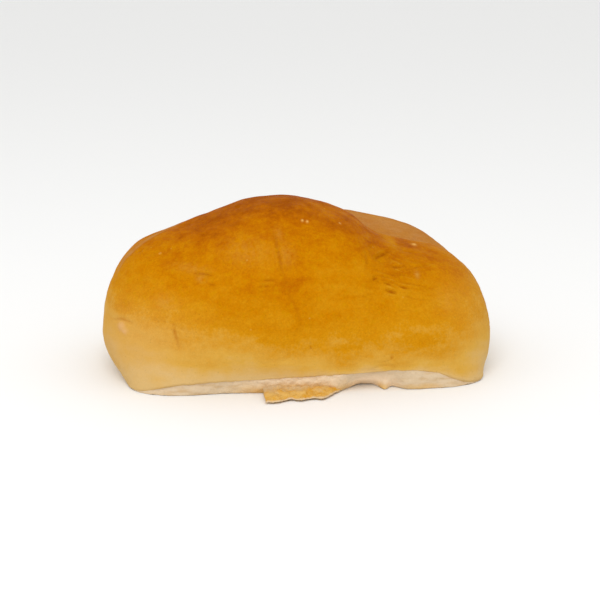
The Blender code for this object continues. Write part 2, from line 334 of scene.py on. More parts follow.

# Patches of dull, pebbled skin, partly a painted sheen: centre, radii and amount, and the range of noise
# that shows.
DUST_AND_SHEEN_EDGE = (-0.9, 0.5)
DUST_AND_SHEEN = [
    ((-32.7, -23.6, 35.9), (5, 10, 1.1), 0.30),
    ((-29.6, -26.5, 33.6), (1.4, 10, 0.9), 0.50),
    ((-5.3, -26.7, 40), (2.2, 8, 2.8), 0.25),
    ((-7.2, -21.9, 45.2), (1.2, 8, 1.6), 0.25),
    ((-40, -27, 26.5), (3, 10, 2.2), 0.45),
    ((-16.5, -24.9, 40.8), (7, 10, 3.4), 0.25),
    ((42, -25, 25), (4, 10, 3), 0.30),
    ((33.4, -21.9, 32.1), (0.6, 4, 0.8), 0.95),
]

# Broad stretches of paler, duller skin: centre, radii and amount.
WAN = [
    ((-51, -20, 15), (17, 40, 8.5), 0.50),
    ((52, -20, 22), (9, 40, 12), 0.15),
]

# Browner skin on the crumb near the floor: centre, radii and amount. TAN_GAIN times their sum,
# less TAN_LESS, shows.
TAN_GAIN, TAN_LESS = 1.6, 0.25
TAN_PATCHES = [
    ((-2, -31, 0.6), (17, 20, 2.6), 0.95),
    ((33.5, -31, 0.4), (8, 12, 1.5), 0.48),
    ((22.3, -31, 0.4), (1.6, 12, 1.4), 0.45),
]

# How brown the crust is by height: (height, share from pale to dark).
BAKE_BY_HEIGHT = [(0.000, 0.06), (0.008, 0.16), (0.015, 0.34), (0.022, 0.48), (0.032, 0.56),
                  (0.042, 0.64), (0.047, 0.76), (0.052, 0.90)]
# Less brown just above the lip, and darker where it faces up: partly browning, partly painted shade on the
# top.
LIP_PALER = 0.16
LIP_FADE = 0.0016
TOP_BROWNING_AND_SHADE = 0.06
FACES_UP = (0.5, 1.0)
# Browner (+) and paler (-) patches: centre, radii and amount.
BAKE_PATCHES = [
    ((-4, -31.9, 29), (4.5, 20, 8), 0.14),
    ((-7.5, -30.5, 32), (8.5, 20, 4.2), 0.10),
    ((28, -18, 35), (11, 15, 8), 0.12),
    ((42.3, -11.5, 33.2), (9, 15, 6), 0.10),
    ((13, -15, 45), (8, 12, 5), 0.10),
    ((-28, -8, 45), (16, 12, 5), 0.14),
    ((-60, -20, 19), (25, 40, 16), -0.19),
    ((56, -20, 16), (11, 40, 17), -0.10),
    ((22, -33, 9), (26, 20, 7.5), 0.12),
    ((-17, -24.9, 40.8), (7, 10, 5), -0.06),
    ((-40, -20, 33), (17, 30, 8), 0.10),
    ((-23, -22, 37), (15, 20, 7), 0.05),
    ((-9.3, -18.1, 47.9), (6, 10, 3), -0.11),
    ((8.4, -16, 47.1), (6, 10, 2.8), -0.12),
    ((28.3, -7.5, 38.7), (1.7, 6, 1.6), -0.18),
    ((32.8, -4.7, 37.7), (3.2, 5, 1.3), 0.16),
    ((22.1, -13.9, 40), (3, 8, 1.8), 0.12),
    ((43, -25, 6), (13, 30, 4.8), 0.06),
    ((19, -33, 7), (6, 10, 3), -0.06),
]

# The stage: the floor's half width and how far it is under the roll, the key light's size and its
# place from the camera's aim, and the camera's sensor in millimetres.
FLOOR_REACH = 5.0
FLOOR_DROP = 0.0001
KEY_SIZE = 0.5
KEY_PLACE = (-0.15, -0.60, 0.60)
SENSOR_WIDTH = 36.0


class RollShape(bpy.types.PropertyGroup):
    """How fine the surfaces are and how uneven."""

    columns: IntProperty(name="Columns", description="Points round the roll", default=520, min=64, max=760)
    dome_rows: IntProperty(name="Dome rows", description="Rows over the crust's dome", default=156, min=16)
    front_share: FloatProperty(
        name="Front share", description="How much closer the points are in front", default=0.45,
        subtype="FACTOR",
    )
    lump_height: FloatProperty(
        name="Lump height", description="Height of the crust's broad lumps", default=0.00030, unit="LENGTH"
    )
    ripple_height: FloatProperty(
        name="Ripple height", description="Height of the fine ripples at the right", default=0.00020,
        unit="LENGTH",
    )
    crumb_height: FloatProperty(
        name="Crumb height", description="Depth of the torn crumb's pits", default=0.00050, unit="LENGTH"
    )
    base_pit: FloatProperty(
        name="Base pit", description="Depth of the torn places in the base", default=0.00090, unit="LENGTH"
    )


def colour(name, description, value):
    """A colour property with its default as a linear RGB value."""
    return FloatVectorProperty(
        name=name, description=description, default=value, subtype="COLOR", size=3, min=0.0, max=1.0
    )


class RollColours(bpy.types.PropertyGroup):
    """The roll's colours, from the palest crust to the darkest, and the crumb's."""

    pale: colour("Pale", "Crust at the lower edge", (0.61, 0.405, 0.16))
    sand: colour("Sand", "Crust low on the sides", (0.605, 0.340, 0.055))
    golden: colour("Golden", "Crust at mid height", (0.54, 0.228, 0.004))
    amber: colour("Amber", "Crust below the crown", (0.49, 0.172, 0.0))
    brown: colour("Brown", "Crust on the crown", (0.41, 0.112, 0.0))
    dark: colour("Dark", "Darkest crust", (0.30, 0.068, 0.0))
    olive: colour("Olive", "Yellower freckles of the crust", (0.50, 0.210, 0.0))
    blush: colour("Blush", "The back lobe's pinker crust", (0.44, 0.205, 0.060))
    blush_dark: colour("Dark blush", "The back lobe's browner streaks", (0.41, 0.180, 0.048))
    # The blister's own pale colour, and the painted highlight on the groove's edge.
    spot: colour("Spot", "The blister and the groove's pale edge", (0.64, 0.37, 0.165))
    grain: colour("Grain", "Pale grains on the crust", (0.78, 0.44, 0.11))
    # Pebbled patches: partly dull crust, partly a painted sheen.
    dust_and_sheen_colour: colour("Dull", "Dull, pebbled patches of crust", (0.530, 0.255, 0.036))
    wan: colour("Wan", "Broad stretches of paler crust", (0.600, 0.318, 0.083))
    # Painted shade down the creases, grooves and furrows; the same dark colour also makes the crust's
    # rusty freckles.
    furrow: colour("Furrow", "Crust down in its creases", (0.36, 0.100, 0.001))
    # Painted highlight on the folds' ridges, the creases' shoulders and the ripples' crests.
    ridge: colour("Ridge", "Crust on its folds' ridges", (0.58, 0.290, 0.020))
    crumb: colour("Crumb", "Torn crumb", (0.64, 0.495, 0.325))
    # Painted light: a brighter crumb where the notch and the tab's root shade it.
    crumb_lit: colour("Painted light on crumb", "Crumb above the tab and in the notch", (0.97, 0.76, 0.54))
    crumb_shade: colour("Crumb shade", "Deeper crumb", (0.57, 0.40, 0.22))
    base_crust: colour("Base crust", "Base crust and tab", (0.66, 0.39, 0.090))
    base_brown: colour("Base brown", "Browner base crust", (0.63, 0.300, 0.016))


class RollStage(bpy.types.PropertyGroup):
    """Where the camera stands, the floor's colour and the lights' strength."""

    azimuth: FloatProperty(
        name="Azimuth", description="Camera's turn round the roll", default=math.radians(-6.0),
        subtype="ANGLE",
    )
    elevation: FloatProperty(
        name="Elevation", description="Camera's height angle", default=math.radians(15.0), subtype="ANGLE"
    )
    distance: FloatProperty(
        name="Distance", description="Camera's distance from its aim", default=0.437, unit="LENGTH"
    )
    lens: FloatProperty(name="Lens", description="Focal length", default=85.0, unit="CAMERA")
    aim: FloatVectorProperty(
        name="Aim", description="Point the camera looks at", default=(0.00155, 0.00215, 0.0189),
        subtype="XYZ",
    )
    floor: colour("Floor", "The floor's pale grey", (0.88, 0.88, 0.87))
    sky_strength: FloatProperty(name="Sky", description="Strength of the even light", default=0.92)
    key_power: FloatProperty(
        name="Key light", description="Power of the soft key light", default=3.0, unit="POWER"
    )


class RollSettings(bpy.types.PropertyGroup):
    """Everything that the operators read."""

    shape: PointerProperty(type=RollShape)
    colours: PointerProperty(type=RollColours)
    stage: PointerProperty(type=RollStage)


def smooth_curve(points, x):
    """Cubic curve through (x, value) points, with a level-headed slope at each of them."""
    knots, values = np.array(points).T
    spans = np.diff(knots)
    slopes = np.diff(values) / spans
    inner = (slopes[:-1] * spans[1:] + slopes[1:] * spans[:-1]) / (spans[1:] + spans[:-1])
    tangents = np.concatenate([slopes[:1], inner, slopes[-1:]])
    x = np.clip(x, knots[0], knots[-1])
    i = np.clip(np.searchsorted(knots, x) - 1, 0, len(spans) - 1)
    t = (x - knots[i]) / spans[i]
    start = (2 * t**3 - 3 * t**2 + 1) * values[i] + (t**3 - 2 * t**2 + t) * spans[i] * tangents[i]
    end = (3 * t**2 - 2 * t**3) * values[i + 1] + (t**3 - t**2) * spans[i] * tangents[i + 1]
    return start + end


def ramp(low, high, value):
    """0 below low, 1 above high, and the smooth step t * t * (3 - 2 t) between them."""
    t = np.clip((value - low) / (high - low), 0.0, 1.0)
    return t * t * (3.0 - 2.0 * t)


def plan_radius(angle, plan, rounder=0.0):
    """Superellipse radius: (|cos / a|^n + |sin / b|^n)^(-1 / n), with its own a and b each way."""
    along, across = np.cos(angle), np.sin(angle)
    half_length = np.where(along < 0, plan["left"], plan["right"])
    half_width = np.where(across < 0, plan["front"], plan["back"])
    left_square, right_square = plan["square"]
    power = left_square + (right_square - left_square) * (1.0 + along) / 2.0
    power = np.maximum(power - rounder, ROUNDEST)
    total = np.abs(along / half_length) ** power + np.abs(across / half_width) ** power
    return total ** (-1.0 / power)


def foot_radius(angle):
    """The foot's outline with its corners held in: (outline^-k + limit^-k)^(-1 / k)."""
    outline, limit = plan_radius(angle, FOOT), FOOT_CORNER_SHARE * plan_radius(angle, WIDEST)
    return (outline**-CORNER_BLEND + limit**-CORNER_BLEND) ** (-1.0 / CORNER_BLEND)


def lobe(x, y, ridge, ridge_y, reach):
    """Height of one lobe: its ridge line, less a parabola in front of it and one behind it."""
    reach_front, reach_back = reach
    offset = y - ridge_y
    share = np.where(offset < 0, offset / reach_front, offset / reach_back)
    return smooth_curve(ridge, x) - LOBE_FALL * share**2


def both_lobes(x, y):
    """Heights of the front and the back lobe."""
    front = lobe(x, y, FRONT_RIDGE, FRONT_RIDGE_Y, FRONT_LOBE_REACH)
    return front, lobe(x, y, BACK_RIDGE, BACK_RIDGE_Y, BACK_LOBE_REACH)


def lobes_height(x, y):
    """The higher of the two lobes, plus s * log(1 + exp(-gap / s)) to soften the groove."""
    front, back = both_lobes(x, y)
    gap = np.abs(front - back) / GROOVE_SOFTNESS
    return np.maximum(front, back) + GROOVE_SOFTNESS * np.log1p(np.exp(-gap))


def widest_height(angle):
    """Height of the roll's widest ring, which falls from the left end to the right one."""
    fall = WIDEST_HEIGHT_LEFT - WIDEST_HEIGHT_RIGHT
    return WIDEST_HEIGHT_RIGHT + fall * (1.0 - np.cos(angle)) / 2.0


def dome(angle, share):
    """Crust from the top (share 0) to the widest ring (share 1), where z rises above the widest
    height by (lobes' height - widest height) * (1 - rho^DOME_TOP)^(1 / DOME_SIDE)."""
    rho = np.sin(share * np.pi / 2.0)
    radius = rho * plan_radius(angle, WIDEST, ROUNDER_ABOVE * (1.0 - rho))
    x, y = radius * np.cos(angle), radius * np.sin(angle)
    low = widest_height(angle)
    rise = (1.0 - rho**DOME_TOP) ** (1.0 / DOME_SIDE)
    return np.stack(np.broadcast_arrays(x, y, low + (lobes_height(x, y) - low) * rise), axis=-1)


def lip_height(angle, foot):
    """Height of the crust's lip, which is lower along the back and a little ragged."""
    lip = smooth_curve(LIP, foot * np.cos(angle))
    lowest = LIP[0][1]
    lip = lip - (lip - lowest) * (1.0 - LIP_BACK_SHARE) * ramp(*LIP_BACK, np.sin(angle))
    circle = np.stack([np.cos(angle), np.sin(angle), 0.0 * angle], axis=-1)
    return lip + layered_noise(circle, LIP_NICKS) * ramp(*RAGGED_LIP, lip)


def under_radius(angle, z):
    """Radius of the crust below the widest ring: foot + (widest - foot) * (1 - s^a)^(1 / b),
    where s is 0 at the widest ring and 1 at the floor."""
    wide, foot = plan_radius(angle, WIDEST), foot_radius(angle)
    bulge, turn = UNDER_CURVE
    s = np.clip(1.0 - z / widest_height(angle), 0.0, 1.0)
    return foot + (wide - foot) * (1.0 - s**bulge) ** (1.0 / turn)


def overhang(angle, lip):
    """How far the crust's lip stands out over the crumb: more where the lip is higher."""
    return LIP_OVERHANG * ramp(LIP_UNDERSIDE, LIP_FULL_HEIGHT, lip)


def ring(angle, radius, z):
    """Points at an angle, a radius and a height."""
    return np.stack(np.broadcast_arrays(radius * np.cos(angle), radius * np.sin(angle), z), axis=-1)


def torn_depth(x, down):
    """How far back the crumb is torn at each x, by the share of the way down to the floor: a
    flat-bottomed notch that deepens evenly, less a bell for its tooth near the floor."""
    inside = ramp(*NOTCH_LEFT, x) * (1.0 - ramp(*NOTCH_RIGHT, x))
    tooth = TOOTH_SHARE * np.exp(-(((x - TOOTH_X) / TOOTH_WIDTH) ** 2)) * down**2
    return NOTCH_DEPTH * inside * down * (1.0 - tooth)


def pressed(points):
    """Points moved by the hollows, each a bell curve of distance from its centre."""
    for centre, radius, push in HOLLOWS:
        distance = np.linalg.norm(points - np.array(centre), axis=-1)
        points = points + np.exp(-((distance / radius) ** 2))[..., None] * np.array(push)
    return points


def lattice_value(cell, seed):
    """A fixed random number from -1 to 1 for each whole-number cell, by multiplying and mixing
    bits."""
    first, second, third, fourth = MIXERS
    x, y, z = (cell[..., i].astype(np.uint32) for i in range(3))
    mixed = x * first + y * second + z * third + np.uint32(seed * int(fourth) % 2**32)
    mixed = (mixed ^ (mixed >> np.uint32(15))) * third
    mixed = (mixed ^ (mixed >> np.uint32(13))) * fourth
    return (mixed ^ (mixed >> np.uint32(16))) / float(2**31) - 1.0


def noise(points, size, seed):
    """Gradient noise, about -1 to 1: each lattice cube of that size blends the eight slopes that
    its corners give by the weights t^3 (6 t^2 - 15 t + 10)."""
    place = points / size
    cell = np.floor(place)
    offset = place - cell
    t = offset**3 * (offset * (6.0 * offset - 15.0) + 10.0)
    cell = cell.astype(np.int64)
    total = 0.0
    for corner in np.ndindex(2, 2, 2):
        weight = np.prod(np.where(np.array(corner) == 1, t, 1.0 - t), axis=-1)
        at = cell + np.array(corner)
        away = offset - corner
        slope = sum(lattice_value(at, 3 * seed + axis) * away[..., axis] for axis in range(3))
        total = total + weight * slope
    return NOISE_GAIN * total


def layered_noise(points, kind):
    """Noise of a kind: its strength times the sum of its layers, each of them half as large and
    half as strong as the one before."""
    strength, size, layers, seed = kind
    return strength * sum(noise(points, size / 2**k, seed + k) / 2**k for k in range(layers))


def bell(points, centre, radii):
    """exp(-d^2), where d is the distance from the centre in units of the radii."""
    offset = (points - np.array(centre)) / np.array(radii)
    return np.exp(-(offset**2).sum(axis=-1))


def patched(points, patches):
    """The sum of the patches' amounts, each times the bell curve of its centre and radii."""
    return sum(amount * bell(points, metres(centre), metres(radii)) for centre, radii, amount in patches)


def flattened(points, share=DEPTH_SHARE):
    """Points drawn together along the line of sight from the front, so that a mark's place on the
    crust depends little on its depth: p - (1 - share) (p . SIGHT) SIGHT."""
    sight = np.array(SIGHT)
    return points - (1.0 - share) * (points @ sight)[..., None] * sight


def path_distance(points, path):
    """Distance of each point from a path, and where along the path (0 to 1) its nearest place is."""
    path = flattened(np.array(path))
    best = np.full(points.shape[:-1], np.inf)
    along = np.zeros(points.shape[:-1])
    steps = len(path) - 1
    for i in range(steps):
        run = path[i + 1] - path[i]
        t = np.clip(((points - path[i]) @ run) / (run @ run), 0.0, 1.0)
        distance = np.linalg.norm(points - path[i] - t[..., None] * run, axis=-1)
        nearer = distance < best
        best = np.where(nearer, distance, best)
        along = np.where(nearer, (i + t) / steps, along)
    return best, along


def crease(points, path, width):
    """A furrow along a path: -exp(-(d / w)^2) at a distance d, with a lower swelling beside it at
    two widths, fading towards both ends."""
    distance, along = path_distance(points, path)
    fade = CREASE_ENDS + (1.0 - CREASE_ENDS) * np.sin(np.pi * np.clip(along, 0.0, 1.0))
    furrow = np.exp(-((distance / width) ** 2))
    shoulder = np.exp(-(((distance - 2.0 * width) / width) ** 2))
    return fade * (CREASE_SWELL * shoulder - furrow)


def grid_normals(points):
    """Unit normals of rows of points that close round: the way down crossed with the way round.
    A pole's row takes the mean of the row beside it."""
    around = np.roll(points, -1, axis=1) - np.roll(points, 1, axis=1)
    down = np.gradient(points, axis=0)
    normals = np.cross(down, around)
    normals = normals / np.maximum(np.linalg.norm(normals, axis=-1, keepdims=True), 1e-12)
    for pole, beside in ((0, 1), (-1, -2)):
        mean = normals[beside].mean(axis=0)
        normals[pole] = mean / np.linalg.norm(mean)
    return normals


def column_angles(count, front_share):
    """Angles round the roll: u - s * cos(u), which brings the points closer together in front."""
    u = np.linspace(0.0, 2.0 * np.pi, count, endpoint=False)
    return (u - front_share * np.cos(u))[None, :]


def shares(count):
    """Evenly spaced shares up to 1 as a column, without 0."""
    return np.linspace(0.0, 1.0, count + 1)[1:, None]


def finished_mesh(name, points, faces, values):
    """A smooth mesh from points and faces, with a float attribute for each entry of values."""
    mesh = bpy.data.meshes.new(name)
    mesh.from_pydata(points, [], faces)
    for label, field in values.items():
        layer = mesh.attributes.new(label, "FLOAT", "POINT")
        layer.data.foreach_set("value", field.astype(np.float32))
    mesh.shade_smooth()
    mesh.validate()
    return mesh


def closed_mesh(name, rows, values):
    """A closed mesh from rows of points, whose first and last rows each shrink to one point, and
    their values."""
    count_rows, columns = rows.shape[:2]
    points = np.concatenate([rows[0, :1], rows[1:-1].reshape(-1, 3), rows[-1, :1]])
    index = 1 + np.arange((count_rows - 2) * columns).reshape(-1, columns)
    beside = np.roll(index, -1, axis=1)
    quads = np.stack([index[:-1], index[1:], beside[1:], beside[:-1]], axis=-1).reshape(-1, 4)
    top = np.stack([np.zeros(columns, int), index[0], beside[0]], axis=-1)
    bottom = np.stack([index[-1], np.full(columns, len(points) - 1), beside[-1]], axis=-1)
    faces = quads.tolist() + top.tolist() + bottom.tolist()
    values = {
        label: np.concatenate([field[0, :1], field[1:-1].ravel(), field[-1, :1]])
        for label, field in values.items()
    }
    return finished_mesh(name, points, faces, values)


def add_piece(name, mesh, material):
    """An object at the origin that rides on the body, stands for the solid and has its slot."""
    piece = bpy.data.objects.new(name, mesh)
    bpy.context.scene.collection.objects.link(piece)
    mesh.materials.append(material)
    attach(piece, "root")
    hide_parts(NODE)
    return piece


def centred(points):
    """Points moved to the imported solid's frame: the middle of the plan's own box, with its tab,
    is over the origin."""
    front = min(y for x, y in TAB_EDGE)
    middle_y = (front + WIDEST["back"]) / 2.0
    middle_x = WIDEST["right"] - packed_box[1].x
    return points - np.array([middle_x, middle_y, 0.0])


def crust_bake(points, normals, lip):
    """How brown the crust is: by height, darker where it faces up (partly browning, partly painted
     shade), plus the patches and noise, and less by LIP_PALER * exp(-rise / LIP_FADE) at a rise above the
     lip."""
    height = points[..., 2]
    bake = smooth_curve(BAKE_BY_HEIGHT, height)
    bake = bake - LIP_PALER * np.exp(-np.maximum(height - lip, 0.0) / LIP_FADE)
    # Darker where the crust faces up: partly browning, partly painted shade on the top.
    bake = bake + TOP_BROWNING_AND_SHADE * ramp(*FACES_UP, normals[..., 2])
    bake = bake + patched(points, BAKE_PATCHES) + layered_noise(points, BAKE_BROAD)
    bake = bake + layered_noise(points * np.array(LINE_STRETCH), BAKE_STREAKS)
    return np.clip(bake, 0.0, 1.0)


def make_crust_rows(shape):
    """The crust's rows, and how many of them show: its dome, lower side and lip, then the lip's
    underside and a cover inside the roll."""
    angle = column_angles(shape.columns, shape.front_share)
    top = widest_height(angle)
    lip = lip_height(angle, foot_radius(angle))
    over = overhang(angle, lip)
    crust = dome(angle, np.linspace(0.0, 1.0, shape.dome_rows)[:, None])
    side_z = top + (lip - top) * shares(SIDE_ROWS)
    side = ring(angle, under_radius(angle, side_z), side_z)
    turn = shares(LIP_ROWS) * np.pi / 2.0
    under_z = lip - LIP_UNDERSIDE * np.sin(turn)
    edge = under_radius(angle, lip)
    under = ring(angle, edge - over * (1.0 - np.cos(turn)), under_z)
    inward = shares(COVER_ROWS)
    cover_z = lip - LIP_UNDERSIDE + CRUST_COVER_STEP
    cover = ring(angle, (edge - over) * (1.0 - inward), cover_z + (CRUST_COVER_HEIGHT - cover_z) * inward)
    return np.concatenate([crust, side, under, cover]), shape.dome_rows + SIDE_ROWS


def faint_lines(rows):
    """Lines along the roll, 0 to 1, where a drawn-out noise is near zero: in places, and not on
    the crown."""
    lines = 1.0 - np.abs(layered_noise(rows * np.array(LINE_STRETCH), LINE_PATHS))
    lines = ramp(*LINE_EDGE, lines) * ramp(*LINE_PLACES_EDGE, layered_noise(rows, LINE_PLACES))
    return lines * (1.0 - ramp(*LINES_TOP, rows[..., 2]))


def ripples(rows):
    """1 - 2 |sin(pi d / spacing)|, where d runs up the side with a slant and sways, broken off by
    noise and kept to the ripples' patch."""
    up = rows[..., 2] + RIPPLE_SLANT * rows[..., 0] + layered_noise(rows, RIPPLE_SWAY)
    waves = 1.0 - 2.0 * np.abs(np.sin(np.pi * up / RIPPLE_SPACING))
    waves = waves * ramp(*RIPPLE_BREAKS_EDGE, layered_noise(rows, RIPPLE_BREAKS))
    return waves * bell(rows, RIPPLE_CENTRE, RIPPLE_RADII)


def lobe_looks(rows):
    """How pink the back lobe's skin is; the fold shading along its groove and the shoulder line,
     painted shade with a painted highlight on the groove's edge; and that painted highlight alone."""
    x, y, z = np.moveaxis(rows, -1, 0)
    front, back = both_lobes(x, y)
    gap = back - front + layered_noise(rows, GROOVE_WAVER)
    wander = rows + layered_noise(rows, BLUSH_WANDER)[..., None]
    blush = BLUSH_SHARE * ramp(*BLUSH_GAP, gap) * ramp(*BLUSH_HEIGHT, wander[..., 2])
    blush = blush * ramp(*BLUSH_RIGHT, wander[..., 0]) * (1.0 - ramp(*BLUSH_END, wander[..., 1]))
    # Painted shade along the groove further right, a painted highlight on its edge further left, and a
    # painted shade line at the left shoulder.
    groove = np.exp(-(((gap - GROOVE_MIDDLE) / GROOVE_WIDTH) ** 2)) * ramp(*GROOVE_HEIGHT, z)
    pale = EDGE_HIGHLIGHT_SHARE * ramp(*GROOVE_HIGHLIGHT_FROM, x) * ramp(GROOVE_SHADE_FROM[0], GROOVE_HIGHLIGHT_FROM[1], x)
    fold_and_shading = groove * (pale - GROOVE_SHADE_SHARE * ramp(*GROOVE_SHADE_FROM, x))
    behind = y - smooth_curve(SHOULDER, x)
    at_left = ramp(*SHOULDER_LEFT, x) * ramp(*SHOULDER_HEIGHT, z)
    strip = 1.0 - ramp(*STRIP_END, behind + layered_noise(rows, STRIP_FRAY))
    strip = STRIP_SHARE * ramp(*STRIP_START, behind) * strip * at_left
    fold_and_shading = fold_and_shading - SHADE_LINE_SHARE * np.exp(-((behind / SHADE_LINE_WIDTH) ** 2)) * at_left
    return np.maximum(blush, strip), fold_and_shading, groove * pale


def make_crust(settings):
    """The browned crust as one closed surface with creases, lumps and ripples, and painted shade and
    highlight along its folds.
    """
    shape = settings.shape
    angle = column_angles(shape.columns, shape.front_share)
    rows, shown = make_crust_rows(shape)
    rows = centred(pressed(rows))
    normals = grid_normals(rows)
    marked = flattened(rows)
    # Each crease both presses the crust in and, through the fold shading, paints shade down it and a
    # highlight beside it.
    fold_and_shading = sum(depth / DEEP_FOLD * crease(marked, path, width) for path, width, depth in CREASES)
    fold_and_shading = fold_and_shading - LINE_SHARE * faint_lines(rows)
    relief = shape.lump_height * layered_noise(rows, CRUST_LUMPS) + DEEP_FOLD * fold_and_shading
    grains = 0.0
    grain_place = flattened(rows, GRAIN_DEPTH_SHARE)
    for centre, radius, height in GRAINS:
        spot = bell(grain_place, flattened(np.array(centre), GRAIN_DEPTH_SHARE), radius)
        grains = grains + spot
        relief = relief + height * spot
    for centre, radius, height in BLISTER + FOLDS:
        relief = relief + height * bell(marked, flattened(np.array(centre)), radius)
    rippled = ripples(rows)
    relief = relief + shape.ripple_height * rippled
    relief[shown:] = 0.0
    rows = rows + relief[..., None] * normals
    blush, lobe_shading, pale_spots_and_highlight = lobe_looks(rows)
    # The pale spots hold the groove edge's painted highlight and the blister's own pale tops.
    ragged = marked + layered_noise(rows, BLISTER_FRAY)[..., None]
    for centre, radius, height in BLISTER:
        spot = bell(ragged, flattened(np.array(centre)), BLISTER_PALE * radius)
        pale_spots_and_highlight = pale_spots_and_highlight + BLISTER_PALE * spot
    values = {
        "bake": crust_bake(rows, normals, lip_height(angle, foot_radius(angle))),
        # Pebbled patches, partly dull crust and partly a painted sheen.
        "dust_and_sheen": patched(rows, DUST_AND_SHEEN) * ramp(*DUST_AND_SHEEN_EDGE, layered_noise(rows, DUST_AND_SHEEN_NOISE)),
        "wan": patched(rows, WAN),
        "blush": blush,
        # The fold shading: painted shade in creases, faint lines, ripple troughs, the lobes' groove and
        # the shoulder line; painted highlight on ridges and the groove's edge.
        "fold_and_shading": fold_and_shading + RIPPLE_SHARE * rippled + lobe_shading,
        "pale_spot_and_highlight": pale_spots_and_highlight,
        "grain": grains,
    }
    values = {label: np.clip(field, -1.0, 1.0) for label, field in values.items()}
    mesh = closed_mesh("crust", rows, values)
    return add_piece("crust", mesh, crust_material(settings.colours))


def make_crumb(settings):
    """The torn crumb below the lip, with its notch, and the roll's base with its torn places."""
    shape = settings.shape
    angle = column_angles(shape.columns, shape.front_share)
    lip = lip_height(angle, foot_radius(angle))
    over = overhang(angle, lip)
    band_z = (lip + COVERED_HEIGHT) * (1.0 - np.linspace(0.0, 1.0, CRUMB_ROWS)[:, None])
    covered = COVERED_INSET * ramp(*COVERED_FROM, band_z - lip)
    radius = under_radius(angle, band_z) - (np.maximum(CRUMB_INSET * over, LEAST_INSET) + covered)
    band = ring(angle, radius, band_z)
    tears = (1.0 - np.abs(layered_noise(band, CRUMB_TEARS))) ** 4
    rough = LEAST_ROUGH + (1.0 - LEAST_ROUGH) * ramp(*ROUGH_OVER, over)
    radius = radius + shape.crumb_height * (layered_noise(band, CRUMB_PITS) - TEAR_SHARE * tears) * rough
    band = ring(angle, radius, band_z)
    in_front = ramp(*FRONT_SECTOR, -np.sin(angle))
    down = 1.0 - np.clip(band_z / lip, 0.0, 1.0)
    set_back = torn_depth(band[..., 0], down) * in_front
    # Painted light on the crumb above the tab and in the notch, where they lie in shade.
    above_tab = ramp(*LIT_LEFT, band[..., 0]) * (1.0 - ramp(*LIT_RIGHT, band[..., 0]))
    lit_notch = ramp(0.0, LIT_NOTCH * NOTCH_DEPTH, set_back)
    lit_band = np.maximum(lit_notch, LIT_SHARE * above_tab * in_front)
    band[..., 1] += set_back
    outward = np.linspace(0.0, 1.0, COVER_ROWS + 1)[:-1, None]
    cover_z = CRUMB_COVER_HEIGHT + (band_z[0] - CRUMB_COVER_HEIGHT) * outward
    cover = ring(angle, radius[:1] * outward, cover_z)
    inward = 1.0 - shares(BASE_ROWS)
    base = ring(angle, radius[-1:] * inward, 0.0)
    base[..., 1] += inward**2 * torn_depth(base[..., 0], 1.0) * in_front
    torn = base_torn(centred(base))
    whole, pitted = 1.0 - BASE_GRAIN[0], layered_noise(base, BASE_GRAIN)
    base[..., 2] = shape.base_pit * torn * (whole + pitted)
    rows = centred(pressed(np.concatenate([cover, band, base])))
    rows[-1] = rows[-1].mean(axis=0)
    placed = centred(band)
    tan = patched(placed + layered_noise(placed, TAN_FRAY)[..., None], TAN_PATCHES)
    crusty = np.concatenate([np.zeros(cover.shape[:2]), TAN_GAIN * tan - TAN_LESS, 1.0 - torn])
    # The painted light carries on over the base near its rim.
    lit_base = lit_band[-1:] * ramp(*LIT_RIM, inward)
    painted_light = np.concatenate([np.zeros(cover.shape[:2]), lit_band, lit_base])
    mesh = closed_mesh("crumb", rows, {"crusty": np.clip(crusty, 0.0, 1.0), "painted_light": painted_light})
    return add_piece("crumb", mesh, crumb_material(settings.colours))


def base_torn(points):
    """Where the base crust has torn away, 0 to 1: towards the rim, with a ragged border, but not
    where the tab joins it."""
    x, y = points[..., 0], points[..., 1]
    half_length, half_width = BASE_HALF
    rim = np.maximum(np.abs(x) / half_length, np.abs(y - BASE_MIDDLE_Y) / half_width)
    at_tab = (1.0 - ramp(*TAB_HOLD_WIDTH, np.abs(x))) * ramp(*TAB_HOLD_DEPTH, y)
    return ramp(*TORN_FROM, rim + layered_noise(points, BASE_TEARS)) * (1.0 - at_tab)


def make_tab(settings):
    """The tab: a ragged wedge, its top sloping from the crumb down to a thin front edge."""
    left, right = TAB_EDGE[0][0], TAB_EDGE[-1][0]
    across, forward = np.meshgrid(np.linspace(0.0, 1.0, TAB_COLUMNS), np.linspace(0.0, 1.0, TAB_ROWS))
    x = left + (right - left) * across
    front = np.stack([x, 0.0 * x, 0.0 * x], axis=-1)
    edge_y = smooth_curve(TAB_EDGE, x) + layered_noise(front, TAB_FRONT_NICKS)
    y = TAB_ROOT_Y + (edge_y - TAB_ROOT_Y) * forward
    side = np.stack([0.0 * y, y, 0.0 * y], axis=-1)
    x = x + layered_noise(side, TAB_SIDE_NICKS) * (1.0 - 2.0 * across)
    flat = np.stack([x, y, 0.0 * y], axis=-1)
    top = TAB_ROOT_TOP + (TAB_EDGE_TOP - TAB_ROOT_TOP) * forward + layered_noise(flat, TAB_PITS)
    side_rounding, front_rounding = TAB_ROUNDING
    rim = np.minimum(np.minimum(across, 1.0 - across) * side_rounding, (1.0 - forward) * front_rounding)
    rounded = np.sqrt(np.clip(1.0 - (1.0 - np.clip(rim, 0.0, 1.0)) ** 2, 0.0, 1.0))
    middle = (top + TAB_UNDERSIDE) / 2.0
    faces = []
    for height in (top, TAB_UNDERSIDE):
        face = flat.copy()
        face[..., 2] = middle + (height - middle) * rounded
        faces.append(centred(face))
    mesh = sheet_mesh("base_tab", *faces, forward)
    return add_piece("base_tab", mesh, tab_material(settings.colours))


